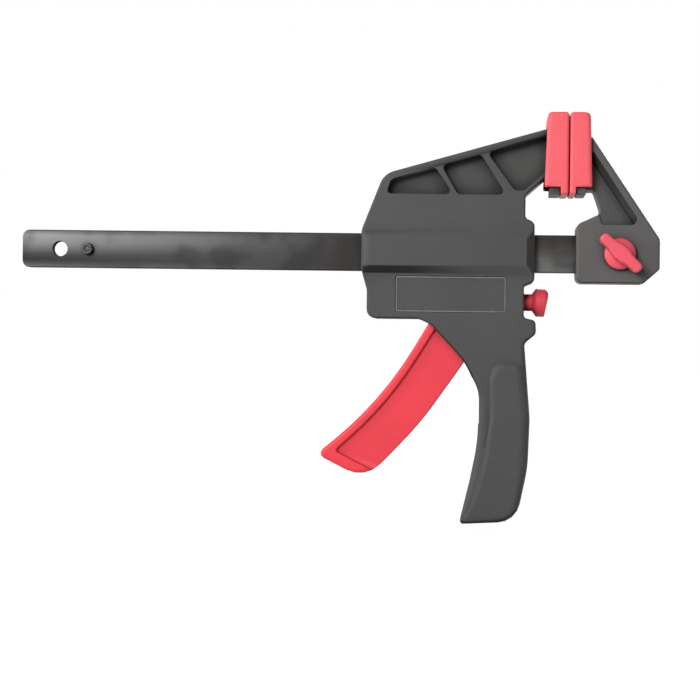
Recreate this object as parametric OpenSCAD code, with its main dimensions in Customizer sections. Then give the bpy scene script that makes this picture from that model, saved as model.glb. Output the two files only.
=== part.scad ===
// Quick release bar clamp, one-handed, 150 mm opening.
// X runs along the bar and Z points up the jaws. The origin is the middle of the clamping
// plane, where the two pads meet. Outlines are drawn round the bar's own axis and then
// lowered by the throat, so inside a module z = 0 is the axis of the bar.

/* [Bar] */
// Height of the flat bar
bar_h = 21; // [20:0.5:22]
// Thickness of the flat bar
bar_t = 6; // [5:0.25:6.5]
// Length of the flat bar
bar_len = 353.5; // [280:0.5:700]
// How far the bar runs past the clamping plane, into the fixed jaw
bar_reach = 49.4; // [48:0.1:50.5]
// Distance from each end of the bar to its bolt hole
bolt_inset = 21; // [20:0.5:23]
// Distance from each end of the bar to its stop pin
pin_inset = 36.9; // [35:0.1:38.5]
// Diameter of the slotted stop pins
pin_d = 6; // [5:0.5:6.5]
// How far a stop pin stands out of each side of the bar
pin_proud = 4; // [3:0.5:4.5]

/* [Jaws] */
// Height of the middle of the pads above the axis of the bar
throat = 55; // [51:0.5:59]
// Height of the pads
pad_h = 45.4; // [42:0.1:47]
// Width of the pads across the clamp
pad_w = 30.6; // [29:0.1:34]
// Gap between the two pads when the clamp is closed
pad_gap = 0.4; // [0.3:0.05:0.6]
// Width of the tongues that carry the pads
tongue_w = 25; // [24:0.1:26]
// Thickness of the fixed jaw and of both arms
jaw_t = 22; // [21:0.5:23]
// Depth of the sunk fields in the arms, from each side
pocket_depth = 7; // [4:0.5:8]

/* [Casing] */
// Length of the sliding casing along the bar
casing_len = 96.5; // [94:0.5:104]
// Distance from the clamping plane back to the casing
casing_gap = 17.6; // [17.4:0.1:20]
// Thickness of the moulded walls
wall = 2.5; // [2:0.1:2.8]
// Thickness across the swelling that houses the drive spring
bulge_t = 31; // [30:0.5:33]
// Depth of the grip's foot below the axis of the bar
grip_drop = 150; // [140:1:165]
// Thickness across the grip's swollen sides
grip_t = 26; // [25:0.5:28]

/* [Trigger] */
// Width of the trigger across the clamp
trigger_w = 16; // [13:0.5:16.4]
// Thickness of the trigger's sunk web
trigger_web = 12; // [8:0.5:13]
// Diameter of the pivot pin
pivot_d = 5; // [4:0.25:5.5]
// Distance from the pivot to the middle of the push nose
nose_reach = 13; // [12.5:0.1:13.2]
// Angle that the trigger swings when it is squeezed
squeeze = 24; // [20:1:24]

/* [Drive] */
// Wire of the drive spring
drive_wire = 1.6; // [1.2:0.1:1.7]
// Thickness of each drive plate
plate_t = 3; // [2.5:0.1:3.2]
// Number of drive plates
plate_count = 2; // [1:1:2]

/* [Brake] */
// Thickness of the brake plate
brake_t = 3; // [2.6:0.1:3.2]
// Angle at which the brake plate leans while it locks
brake_lean = 6; // [4:0.5:7]
// Height of the axis of the release button below the axis of the bar
button_drop = 27; // [26:0.5:28]
// Diameter of the release button's head
button_d = 15.8; // [13:0.1:17]
// Diameter of the release button's stem
stem_d = 9.5; // [8:0.25:10]

/* [Knob] */
// Thread diameter of the knob's stud
stud_d = 8; // [6:0.5:8.4]
// Diameter of the knob's round base
knob_d = 17.4; // [16:0.1:20]
// Length of the knob's wing
wing_len = 28.5; // [24:0.5:34]
// Angle at which the wing stands
wing_angle = -41.5; // [-90:0.5:90]

/* [Fits] */
// Gap round the bar in the sockets that slide along it
slide_gap = 0.25; // [0.15:0.01:0.4]
// Radial running clearance of pins in their bores
pin_gap = 0.05; // [0.02:0.01:0.1]

/* [Hidden] */

plastic = "#565758";
red = "#ee4458";
soft_red = "#fb6672";
steel = "#3b3836";
zinc = "#a8a9a8";

round_fn = 64;
small_fn = 32;

// Shared places along the bar
bar_half = bar_h / 2;
bar_free = bar_reach - bar_len;
casing_right = -casing_gap;
casing_left = casing_right - casing_len;
jaw_half = jaw_t / 2;
hollow_half = jaw_half - wall;
edge = 1.5;

// Pads and tongues: x of each face, measured away from the clamping plane
pad_face = pad_gap / 2;
pad_wall = 4;
tongue_t = 5.2;
tongue_top = throat + pad_h / 2 - 4.4;
tongue_foot = throat - pad_h / 2 + 0.1;
movable_wall = 4.8;
movable_tongue_t = 5.5;
seat_gap = 0.15;

// Trigger pivot and push nose
pivot = [casing_right - 34.5, -28.5];
nose_r = 3.5;
nose_half = 5;
nose = pivot + nose_reach * [sin(squeeze / 2), cos(squeeze / 2)];

// Drive train
spring_cavity_r = bar_half + 2.7;
spring_r = spring_cavity_r - 0.4 - drive_wire / 2;
drive_face = nose[0] - nose_r - 0.1;
plate_gap = 0.02;
seat_t = 1.5;
seat_x = drive_face - plate_count * (plate_t + plate_gap) - seat_t;
drive_plate_r = spring_cavity_r - 1;
spring_room_left = casing_left + wall + 0.5;

// Brake
notch_x = casing_right - 6.4;
inner_notch = notch_x - wall;
brake_foot = [inner_notch - 5.1, -button_drop];
brake_pivot_z = 17;
brake_pivot = [brake_foot[0] - (brake_pivot_z + button_drop) * tan(brake_lean), brake_pivot_z];
button_travel = 4.2;
face_lean = 11;
brake_spring_seat = brake_foot[0] - brake_t / 2 - 10.6;
brake_spring_r = 3.1;
brake_wire = 0.8;

// Screws that hold the shells together: x, z
screw_d = 3;
screw_head_d = 5.6;
screw_head_t = 2.2;
boss_d = 7.5;
screws = [[casing_left + 10, -29.5], [casing_left + 13, 22.5], [casing_right - 13.5, 25],
          [casing_right - 13, -57], [casing_right - 21.5, 8 - grip_drop + 3]];

// Fixed jaw
jaw_left = 4.5;
jaw_right = bar_reach + 1.2;
bolt_x = bar_reach - bolt_inset;
jaw_pin_x = bar_reach - pin_inset;
nut_t = 6;
nut_af = stud_d * 1.625;
nut_floor = bar_t / 2 + slide_gap + 1.4;
washer_t = 1.5;

// ---------- outlines ----------

function unit(v) = v / norm(v);
function side(a, b) = a[0] * b[1] - a[1] * b[0];
function turned(v, a) = [v[0] * cos(a) - v[1] * sin(a), v[0] * sin(a) + v[1] * cos(a)];
function place(c) = [c[0], c[1]];
function before(c, i) = place(c[(i + len(c) - 1) % len(c)]);
function after(c, i) = place(c[(i + 1) % len(c)]);
function arc_steps(r) = r <= 0 ? 0 : r < 3.2 ? 3 : r < 20 ? 4 : 6;

// Corner i of an outline, moved inwards by d (outlines run anticlockwise seen from the front)
function inward(c, i, d) =
    let (e = unit(place(c[i]) - before(c, i)), f = unit(after(c, i) - place(c[i])),
         m = [-e[1], e[0]], n = [-f[1], f[0]])
    place(c[i]) + (m + n) * d / (1 + m * n);

// The arc that rounds corner b of the path a-b-c with radius r, in n steps
function arc(a, b, c, r, n) =
    n == 0 ? [b]
    : let (u = unit(a - b), w = unit(c - b), half = acos(u * w) / 2,
           o = b + unit(u + w) * r / sin(half), start = b + u * r / tan(half) - o,
           sweep = (180 - 2 * half) * (side(u, w) < 0 ? 1 : -1))
      [for (i = [0:n]) o + turned(start, sweep * i / n)];

// Corners [x, z, radius, bevel], each moved inwards by share of its own bevel, as rounded points
function ring2d(c, share = 0, extra = 0) =
    let (last = len(c) - 1,
         d = [for (i = [0:last]) bevel_of(c, i) * share + extra],
         p = [for (i = [0:last]) inward(c, i, d[i])])
    [for (i = [0:last])
        let (convex = side(place(c[i]) - before(c, i), after(c, i) - place(c[i])) > 0,
             r = max(0.06, c[i][2] + (convex ? -d[i] : d[i])))
        arc(p[(i + last) % (last + 1)], p[i], p[(i + 1) % (last + 1)], r, arc_steps(c[i][2]))];

function points(c, share = 0, extra = 0) = [for (a = ring2d(c, share, extra)) each a];

function bevel_of(c, i) = len(c[i]) > 3 ? c[i][3] : edge;

// Triangles that fill an outline p of any shape: ears are cut off it one by one
function in_triangle(q, a, b, c) = side(b - a, q - a) >= 0 && side(c - b, q - b) >= 0 && side(a - c, q - c) >= 0;
function is_ear(p, at, a, b, c) =
    side(p[b] - p[a], p[c] - p[b]) > 0
    && len([for (k = at) if (k != a && k != b && k != c && in_triangle(p[k], p[a], p[b], p[c])) k]) == 0;
function ear(p, at, k, n) =
    k == n - 1 || is_ear(p, at, at[(k + n - 1) % n], at[k], at[(k + 1) % n]) ? k : ear(p, at, k + 1, n);
function fill(p, at, done = []) =
    let (n = len(at))
    n == 3 ? concat(done, [at])
    : let (k = ear(p, at, 0, n))
      fill(p, [for (i = [0:n - 1]) if (i != k) at[i]],
           concat(done, [[at[(k + n - 1) % n], at[k], at[(k + 1) % n]]]));

// A closed skin over rings that run from the back to the front
module skin(rings) {
    n = len(rings[0]);
    last = len(rings) - 1;
    flat = [for (r = [rings[0], rings[last]]) [for (q = r) [q[0], q[2]]]];
    all = [for (i = [0:n - 1]) i];
    polyhedron(
        points = [for (r = rings) each r],
        faces = concat(
            fill(flat[0], all),
            [for (k = [0:last - 1], i = [0:n - 1])
                let (a = k * n + i, b = k * n + (i + 1) % n) each [[a + n, b + n, b], [a + n, b, a]]],
            [for (t = fill(flat[1], all)) [t[2] + last * n, t[1] + last * n, t[0] + last * n]]));
}

// One ring of a rounded front edge: angle 0 is the foot of the rounding and 90 the flat face
function edge_ring(c, half, angle, flip = 1) =
    let (r = ring2d(c, 1 - cos(angle)))
    [for (i = [0:len(c) - 1], p = r[i]) [p[0], -flip * (half - 0.75 * bevel_of(c, i) * (1 - sin(angle))), p[1]]];
function flat_ring(c, depth) = [for (p = points(c)) [p[0], -depth, p[1]]];

// Outline corners as a plate between two depths in front of the middle plane
module plate(c, from, to, extra = 0) {
    rotate([90, 0, 0]) translate([0, 0, from]) linear_extrude(to - from) polygon(points(c, 0, extra));
}

// Half a moulding: flat at the middle plane, or from another depth, with a rounded front edge
module half_moulding(c, half, from = 0) {
    skin(concat([flat_ring(c, from)], [for (a = [0:30:90]) edge_ring(c, half, a)]));
}

// A whole moulding, with both edges rounded
module moulding(c, half) {
    skin(concat([for (a = [90:-30:0]) edge_ring(c, half, a, -1)], [for (a = [0:30:90]) edge_ring(c, half, a)]));
}

module both_sides() {
    children();
    mirror([0, 1, 0]) children();
}

// Lowers what is drawn round the axis of the bar to its place under the pads
module from_bar() {
    translate([0, 0, -throat]) children();
}

// A cylinder across the clamp, from depth a to depth b in front of the middle plane
module across(x, z, d, a, b, fn = small_fn) {
    translate([x, -a, z]) rotate([90, 0, 0]) cylinder(d = d, h = b - a, $fn = fn);
}

// A cylinder along the bar
module along(x, z, d, length, fn = round_fn) {
    translate([x, 0, z]) rotate([0, 90, 0]) cylinder(d = d, h = length, $fn = fn);
}

// A block given by its lowest and highest corners
module block(low, high) {
    translate(low) cube(high - low);
}

// The space that the bar needs, with a gap all round
module bar_room(from, to, gap = slide_gap) {
    block([from, -bar_t / 2 - gap, -bar_half - gap], [to, bar_t / 2 + gap, bar_half + gap]);
}

// Wire coiled round the X axis between two planes, closed by half a turn at each end
module coil(from, to, r, wire, turns, per_turn, sides) {
    steps = turns * per_turn;
    run = to - from - wire;
    ring = [for (i = [0:steps])
        let (t = i / steps, a = 360 * turns * t, x = from + wire / 2 + run * t)
        [for (j = [0:sides - 1])
            let (b = 360 * j / sides, rr = r + wire / 2 * cos(b))
            [x + wire / 2 * sin(b), rr * cos(a), rr * sin(a)]]];
    polyhedron(
        points = [for (q = ring) each q],
        faces = concat(
            [[for (j = [sides - 1:-1:0]) j]],
            [for (i = [0:steps - 1], j = [0:sides - 1])
                let (a = i * sides + j, b = i * sides + (j + 1) % sides)
                each [[a, b, b + sides], [a, b + sides, a + sides]]],
            [[for (j = [0:sides - 1]) steps * sides + j]]));
}

// ---------- bar ----------

module bar() {
    corner = 4;
    arris = 0.6;
    color(steel) from_bar() difference() {
        intersection() {
            plate([[bar_free, -bar_half, corner], [bar_reach, -bar_half, corner],
                   [bar_reach, bar_half, corner], [bar_free, bar_half, corner]], -bar_t / 2, bar_t / 2);
            rotate([90, 0, 90]) translate([0, 0, bar_free - 1]) linear_extrude(bar_len + 2)
                polygon([for (s = [[-1, -1], [1, -1], [1, 1], [-1, 1]], k = s[0] * s[1] > 0 ? [0, 1] : [1, 0])
                    [s[0] * (bar_t / 2 - arris * k), s[1] * (bar_half - arris * (1 - k))]]);
        }
        for (x = [bar_free + bolt_inset, bolt_x])
            across(x, 0, stud_d + 0.4, -bar_t, bar_t, round_fn);
        for (x = [bar_free + pin_inset, jaw_pin_x])
            across(x, 0, pin_d, -bar_t, bar_t, round_fn);
    }
}

// A rolled spring pin with its slot facing along the bar
module stop_pin(x) {
    half = bar_t / 2 + pin_proud;
    color(steel) from_bar() difference() {
        across(x, 0, pin_d, -half, half, round_fn);
        across(x, 0, pin_d * 0.5, -half - 1, half + 1, round_fn);
        block([x, -half - 1, -0.6], [x + pin_d, half + 1, 0.6]);
    }
}

// ---------- fixed jaw ----------

// The sloping back edge of the fixed jaw, from its heel to its tongue
jaw_heel = [jaw_right, 8.3];
jaw_tip = [pad_face + pad_wall + tongue_t - 1, tongue_top - 2.5];
jaw_slope = unit(jaw_tip - jaw_heel);
jaw_inner = [-jaw_slope[1], jaw_slope[0]];

jaw_corners = [
    [jaw_left, -bar_half - 5.7, 3.5], [jaw_right - 9, -bar_half - 5.7, 2], [jaw_right, -8.2, 2.5],
    [jaw_heel[0], jaw_heel[1], 5], [jaw_tip[0], jaw_tip[1], 0],
    [jaw_tip[0], throat - pad_h / 2 + 3, 0], [13.9, throat - pad_h / 2 + 2.8, 2.2],
    [18.4, bar_half + 11.9, 3.2], [jaw_left, bar_half + 5.5, 4]];

// The sunk field of the fixed jaw: a steep wall along the sloping flange, then a floor that rises to
// the inner edge
module jaw_pocket() {
    flange = 4;
    wall_run = 3.5;
    run = 21;
    foot = 16;
    start = jaw_heel + jaw_inner * flange - jaw_slope * 10;
    function on_flange(reach) = start + jaw_slope * reach - jaw_inner * 0.05;
    low = (foot - start[1]) / jaw_slope[1];
    high = (jaw_tip[0] + 3.5 - start[0]) / jaw_slope[0];
    intersection() {
        plate([[18.4, foot, 1.5], concat(on_flange(low), [3]), concat(on_flange(high), [1]),
               [jaw_tip[0] + 3.5, 38, 1]], 0, jaw_half + 3);
        multmatrix([[jaw_inner[0], 0, jaw_slope[0], start[0]], [0, -1, 0, 0],
                    [jaw_inner[1], 0, jaw_slope[1], start[1]]])
            linear_extrude(norm(jaw_tip - jaw_heel) + 20)
                polygon([[0, jaw_half], [wall_run, jaw_half - pocket_depth], [run, jaw_half],
                         [run, jaw_half + 3], [0, jaw_half + 3]]);
    }
}

module fixed_jaw() {
    groove_half = bar_t / 2 + pin_proud + 0.4;
    groove_z = pin_d / 2 + 0.3;
    color(plastic) from_bar() difference() {
        union() {
            moulding(jaw_corners, jaw_half);
            block([pad_face + pad_wall, -tongue_w / 2, tongue_foot],
                  [pad_face + pad_wall + tongue_t, tongue_w / 2, tongue_top]);
        }
        bar_room(jaw_left - 1, jaw_right + 1, slide_gap * 0.4);
        // Grooves that let the stop pin in, from both ends, so that the jaw can be turned round
        for (g = [[jaw_left - 1, jaw_pin_x + pin_d / 2 + 0.1],
                  [2 * bolt_x - jaw_pin_x - pin_d / 2 - 0.1, jaw_right + 1]])
            block([g[0], -groove_half, -groove_z], [g[1], groove_half, groove_z]);
        across(bolt_x, 0, stud_d + 0.4, -jaw_t, jaw_t, round_fn);
        across(bolt_x, 0, nut_af / cos(30) + 0.3, -jaw_t, -nut_floor, 6);
        both_sides() jaw_pocket();
    }
}

// ---------- pads ----------

// A slip-on cap for a tongue. dir is 1 for the fixed jaw and -1 for the sliding one
module pad(dir, front, slot_t, depth, skirt_depth, passage_top) {
    top = throat + pad_h / 2;
    foot = throat - pad_h / 2;
    skirt = foot + 4;
    x0 = pad_face;
    lip = x0 + front * 0.9;
    tongue_x = x0 + front;
    scale([dir, 1, 1]) difference() {
        moulding([[x0, foot, 1, 1.6], [lip, foot, 0.8, 0.6], [lip, skirt, 0, 0.6], [x0 + skirt_depth, skirt, 1, 2.2],
                  [x0 + depth, top, 2.5, 2.2], [x0, top, 2, 1.6]], pad_w / 2);
        // Slot for the tongue, open below
        block([tongue_x, -tongue_w / 2 - seat_gap, foot - 1],
              [tongue_x + slot_t, tongue_w / 2 + seat_gap, tongue_top + seat_gap]);
        // Way for the arm behind the tongue
        block([tongue_x, -jaw_half - seat_gap, foot - 1], [x0 + skirt_depth + 1, jaw_half + seat_gap, passage_top]);
    }
}

module fixed_pad() {
    color(soft_red) from_bar() pad(1, pad_wall, tongue_t + seat_gap, 11.3, 12.7, jaw_tip[1] + 0.6);
}

module movable_pad() {
    color(soft_red) from_bar()
        pad(-1, movable_wall, movable_tongue_t + seat_gap, 11.8, 13.3, arm_tip[1] + 0.6);
}

// ---------- knob ----------

knob_foot = jaw_half + washer_t + 0.05;
knob_skirt = 2.2;
wing_h = 12.5;
wing_end = 2.9;
wing_hub = 4.2;
stud_grip = 7;

// Outline of the wing, wide round the stud and narrow at both ends
function wing_side(s) = [
    [-s * wing_len / 2, -s * wing_end, wing_end - 0.2], [-s * (wing_hub + 1.6), -s * (wing_end + 0.3), 4],
    [-s * 2.2, -s * wing_hub, 3], [s * 2.2, -s * wing_hub, 3],
    [s * (wing_hub + 1.6), -s * (wing_end + 0.3), 4], [s * wing_len / 2, -s * wing_end, wing_end - 0.2]];

module wing_knob() {
    color(red) from_bar() translate([bolt_x, -knob_foot, 0]) difference() {
        union() {
            rotate([90, 0, 0]) rotate_extrude($fn = round_fn)
                polygon([[0, 0], [knob_d / 2, 0], [knob_d / 2, knob_skirt], [knob_d / 2 - 0.7, knob_skirt + 0.9],
                         [knob_d / 2 - 2.6, knob_skirt + 2.6], [knob_d / 2 - 4.9, knob_skirt + 3.9],
                         [0, knob_skirt + 4.6]]);
            rotate([0, -wing_angle, 0])
                plate(concat(wing_side(1), wing_side(-1)), knob_skirt - 0.6, wing_h);
        }
        across(0, 0, stud_d - 0.2, -1, stud_grip, round_fn);
    }
}

module knob_stud() {
    color(zinc) from_bar() across(bolt_x, 0, stud_d - 0.2, -jaw_half + 1, knob_foot + stud_grip, round_fn);
}

module knob_washer() {
    color(zinc) from_bar() difference() {
        across(bolt_x, 0, knob_d + 0.6, jaw_half + 0.03, jaw_half + 0.03 + washer_t, round_fn);
        across(bolt_x, 0, stud_d + 0.4, jaw_half - 1, jaw_half + washer_t + 1, round_fn);
    }
}

module jaw_nut() {
    color(zinc) from_bar() difference() {
        across(bolt_x, 0, nut_af / cos(30), -nut_floor - nut_t, -nut_floor, 6);
        across(bolt_x, 0, stud_d, -jaw_t, 0, round_fn);
    }
}

// ---------- casing ----------

arm_back = -(pad_face + movable_wall + movable_tongue_t);
arm_tip = [arm_back + 0.8, tongue_top - 3.95];
arm_rise = 0.285;
arm_heel = [casing_left + 12, arm_tip[1] - arm_rise * (arm_tip[0] - casing_left - 12)];
grip_foot = -grip_drop;

casing_corners = [
    [casing_left + 3.2, -36.9, 5, 1.5], [casing_right - 64.5, -36.9, 6, 1.5],
    [casing_right - 57.5, -40.1, 3, 1.5],
    // front of the grip
    [casing_right - 38.4, -60.8, 40, 2.5], [casing_right - 31.1, -77, 22, 5],
    [casing_right - 30.9, -104, 110, 5], [casing_right - 35.4, -127, 50, 5], [casing_right - 40.8, grip_foot, 1.8, 1.5],
    [casing_right - 9.4, grip_foot + 1.4, 13, 3],
    // back of the grip
    [casing_right - 3.2, -119, 70, 5], [casing_right - 2.3, -91, 60, 5],
    [casing_right - 5.9, -50, 3, 2.5],
    // rest for the thumb and notch for the button
    [casing_right + 0.5, -44.6, 3.6, 2], [casing_right + 0.2, -37.1, 2.6, 2],
    [notch_x, -35.8, 2, 1.2], [notch_x, -18, 2, 1.2],
    // front end on the bar
    [casing_right - 0.7, -16, 3, 1.5], [casing_right - 0.9, 17.2, 4, 1.5],
    [casing_right - 6.1, 19.2, 2.5, 1.2], [casing_right - 6.1, 31.9, 4, 1.5],
    // arm
    [arm_tip[0], throat - pad_h / 2 + 12.1, 0, 1.2], [arm_tip[0], arm_tip[1], 0, 1.2],
    [arm_heel[0], arm_heel[1], 11, 1.5],
    [casing_left + 0.2, 12.6, 5, 1.5], [casing_left + 0.4, -11.5, 4, 1.5],
    [casing_left + 3.2, -21, 6, 1.5]];

// Sunk fields of the arm, between ribs that lean back
pocket_foot = 32;
function arm_edge(x) = arm_tip[1] - 4.1 - arm_rise * (arm_tip[0] - x);
arm_pockets = [
    [[casing_left + 13.2, pocket_foot, 2], [casing_left + 50.4, pocket_foot, 2],
     [casing_left + 40.3, arm_edge(casing_left + 40.3), 2.4], [casing_left + 16, arm_edge(casing_left + 16), 4]],
    [[casing_left + 52.8, pocket_foot, 3.5], [casing_left + 79.6, pocket_foot, 2],
     [casing_left + 65.6, arm_edge(casing_left + 65.6), 2], [casing_left + 43.7, arm_edge(casing_left + 43.7), 2]],
    [[casing_left + 84.3, pocket_foot + 2.4, 4], [casing_left + 89.6, pocket_foot + 2.4, 4],
     [arm_tip[0] - 1.6, 46.2, 2], [arm_tip[0] - 1.6, arm_edge(arm_tip[0] - 1.6), 1.5],
     [casing_left + 68.9, arm_edge(casing_left + 68.9), 2]]];

// Swelling along the bar: its left end is turned like a drum, its other edges are sloped
module bulge() {
    rise = bulge_t / 2 - jaw_half;
    rings = [for (a = [-15, 0, 30, 60, 90])
        let (s = max(0, sin(a)), x0 = casing_left + 5.2 * (1 - cos(max(a, 0))), x1 = casing_right - 1.6 - 3.7 * s,
             z0 = -bar_half - 1.3 + 4.2 * s, z1 = bar_half + 2.5 - 4.7 * s, d = jaw_half + rise * s - (a < 0 ? 3 : 0))
        [for (p = points([[x0, z0, 2], [x1, z0, 1.5], [x1, z1, 1.5], [x0, z1, 2]])) [p[0], -d, p[1]]]];
    skin(rings);
}

// Swollen side of the grip: it starts at a crease behind the rounded front and runs to the back and foot
module grip_side() {
    c = [[casing_right - 39.5, grip_foot + 0.4, 1.5, 1.5], [casing_right - 9.8, grip_foot + 1.8, 12.6, 3],
         [casing_right - 3.6, -119, 70, 5], [casing_right - 2.7, -91, 60, 5],
         [casing_right - 5.6, -60.5, 6, 5], [casing_right - 23.6, -59, 8, 5],
         [casing_right - 25.4, -71.7, 14, 3.2], [casing_right - 24.3, -89.6, 60, 3.2],
         [casing_right - 28.2, -115.9, 60, 3.2], [casing_right - 33.5, -135.3, 30, 3.2]];
    half_moulding(c, grip_t / 2, jaw_half - 2);
}

// Space inside the shells, up to their walls
module hollow() {
    difference() {
        plate(casing_corners, -1, hollow_half, wall);
        // The arm is solid above the mechanism
        plate([[casing_left - 5, pocket_foot - 3.6, 0], [casing_right + 20, pocket_foot - 3.6, 0],
               [casing_right + 20, 90, 0], [casing_left - 5, 90, 0]], -2, jaw_t);
        // Walls where the bar passes out
        block([casing_left - 1, -jaw_t, -bar_half - 5], [spring_room_left, 1, bar_half + 5]);
        block([inner_notch, -jaw_t, -bar_half - 4], [casing_right + 1, 1, bar_half + 4]);
    }
    along(spring_room_left, 0, 2 * spring_cavity_r, drive_face + 2 - spring_room_left);
}

// The trigger's way out of the casing and into the grip
module trigger_way() {
    plate([[casing_right - 60.5, -33, 0], [casing_right - 61.5, -42, 0], [casing_right - 46.5, -62, 0],
           [casing_right - 38.5, -95, 0], [casing_right - 27.5, -95, 0], [casing_right - 24.5, -60, 0],
           [casing_right - 36.5, -34, 0]], -1, hollow_half);
}

// What stands inside each shell: ribs, seats and the pivot's bosses
module inner_ribs() {
    deep = hollow_half + 0.5;
    // rest behind the tops of the drive plates
    block([drive_face + 0.1, -deep, bar_half + 3.4], [drive_face + 2.1, -0.1, bar_half + 8]);
    // fulcrum of the brake plate
    for (x = [brake_pivot[0] - brake_t / 2 - 2.6, brake_pivot[0] + brake_t / 2 + 0.45])
        block([x, -deep, brake_pivot_z - 1.5], [x + 2, -0.1, brake_pivot_z + 4]);
    // seat of the brake spring
    block([brake_spring_seat - 1.8, -deep, -button_drop - 4.6], [brake_spring_seat, -0.1, -button_drop + 4.6]);
    // screw bosses
    for (s = screws) across(s[0], s[1], boss_d, 0, deep);
}

module shell_half() {
    difference() {
        union() {
            difference() {
                union() {
                    half_moulding(casing_corners, jaw_half);
                    bulge();
                    grip_side();
                    // half of the tongue under the pad
                    block([arm_back, -tongue_w / 2, tongue_foot],
                          [arm_back + movable_tongue_t, 0, tongue_top]);
                }
                hollow();
                trigger_way();
                for (c = arm_pockets) plate(c, jaw_half - pocket_depth, jaw_half + 1);
            }
            inner_ribs();
        }
        bar_room(casing_left - 2, casing_right + 2);
        // bore of the button's stem and of the pivot pin
        along(inner_notch - 1, -button_drop, stem_d + 0.2, wall + 3);
        across(pivot[0], pivot[1], pivot_d, -1, jaw_half - 1);
    }
}

module front_shell() {
    color(plastic) from_bar() difference() {
        shell_half();
        for (s = screws) across(s[0], s[1], screw_d, -1, jaw_half - 2.4);
        // sunk field for a label, left bare
        plate([[casing_left + 19, -33.3, 1], [casing_right - 16.2, -33.3, 1],
               [casing_right - 16.2, -13.2, 1], [casing_left + 19, -13.2, 1]], jaw_half - 0.4, jaw_half + 1);
    }
}

module back_shell() {
    color(plastic) from_bar() mirror([0, 1, 0]) difference() {
        shell_half();
        for (s = screws) {
            across(s[0], s[1], screw_d + 0.4, -1, jaw_t);
            across(s[0], s[1], screw_head_d + 0.6, jaw_half - 3, jaw_t);
        }
    }
}

module shell_screws() {
    color(zinc) from_bar() for (s = screws) difference() {
        union() {
            across(s[0], s[1], screw_head_d, -jaw_half + 3 - screw_head_t, -jaw_half + 3);
            across(s[0], s[1], screw_d, -jaw_half + 3, jaw_half - 2.6);
        }
    }
}

// ---------- trigger ----------

trigger_corners = [
    [pivot[0] - 86.1, -112.6, 3, 2], [pivot[0] - 58.7, -126.4, 16, 2],
    [pivot[0] - 28.6, -95.2, 200, 3.4], [pivot[0] + 1.2, -52, 8, 2],
    [pivot[0] + 3.5, pivot[1] - 8.5, 3, 1.5], [pivot[0] - 4, pivot[1] + 3.4, 3, 1.5],
    [pivot[0] - 18.6, -29.6, 4, 1.5], [pivot[0] - 50.4, -83.1, 200, 1.5]];

// The rim stands along the finger side and the tip, and leaves the web open to the grip
trigger_field = [
    [pivot[0] - 75.6, -110.6, 1.5], [pivot[0] - 54, -121.6, 2], [pivot[0] - 36, -112, 0],
    [pivot[0] + 10, -56, 0], [pivot[0] - 10, -36.5, 3], [pivot[0] - 17, -36.5, 3],
    [pivot[0] - 46.1, -83.6, 200]];

module trigger() {
    half = trigger_w / 2;
    color(red) from_bar() difference() {
        union() {
            difference() {
                moulding(trigger_corners, half);
                both_sides() plate(trigger_field, trigger_web / 2, half + 1);
            }
            across(pivot[0], pivot[1], 12, -half, half, round_fn);
            // push nose on its arm, clear of the bar and of the plates
            across(nose[0], nose[1], 2 * nose_r, -nose_half, nose_half, round_fn);
            plate([[pivot[0], pivot[1], 0], [pivot[0] + 5, pivot[1], 0],
                   [nose[0] + nose_r - 0.3, nose[1], 0], [nose[0] - nose_r + 0.6, nose[1], 0]],
                  -nose_half, nose_half);
        }
        across(pivot[0], pivot[1], pivot_d + 2 * pin_gap, -jaw_t, jaw_t, round_fn);
    }
}

module trigger_pin() {
    half = jaw_half - 1.1;
    color(zinc) from_bar() across(pivot[0], pivot[1], pivot_d, -half, half, round_fn);
}

// ---------- drive ----------

module drive_plate(i) {
    x = drive_face - plate_t - i * (plate_t + plate_gap);
    color(zinc) from_bar() difference() {
        union() {
            along(x, 0, 2 * drive_plate_r, plate_t);
            block([x, -5, -bar_half - 9.5], [x + plate_t, 5, bar_half + 5.5]);
        }
        bar_room(x - 1, x + plate_t + 1, 0.2);
    }
}

module drive_plate_near() drive_plate(0);
module drive_plate_far() if (plate_count > 1) drive_plate(1);

module drive_spring_seat() {
    color(zinc) from_bar() difference() {
        along(seat_x, 0, 2 * drive_plate_r + 0.4, seat_t - plate_gap);
        bar_room(seat_x - 1, seat_x + seat_t + 1, 0.3);
    }
}

module drive_spring() {
    color(zinc) from_bar()
        coil(spring_room_left + 0.05, seat_x - 0.05, spring_r, drive_wire, 9, 20, 8);
}

// ---------- brake ----------

module brake_plate() {
    slot_h = (bar_h + 0.17 + brake_t * sin(brake_lean)) / cos(brake_lean);
    slot_drop = brake_pivot_z / cos(brake_lean);
    foot = (brake_pivot_z + button_drop) / cos(brake_lean) + 6;
    color(zinc) from_bar() translate([brake_pivot[0], 0, brake_pivot[1]]) rotate([0, -brake_lean, 0])
        difference() {
            block([-brake_t / 2, -hollow_half + 0.5, -foot], [brake_t / 2, hollow_half - 0.5, 2.5]);
            block([-brake_t, -bar_t / 2 - 0.2, -slot_drop - slot_h / 2],
                  [brake_t, bar_t / 2 + 0.2, -slot_drop + slot_h / 2]);
        }
}

module brake_spring() {
    color(zinc) from_bar() translate([0, 0, -button_drop])
        coil(brake_spring_seat + 0.05, brake_foot[0] - brake_t / 2 - 0.45, brake_spring_r, brake_wire, 6, 12, 6);
}

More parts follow.
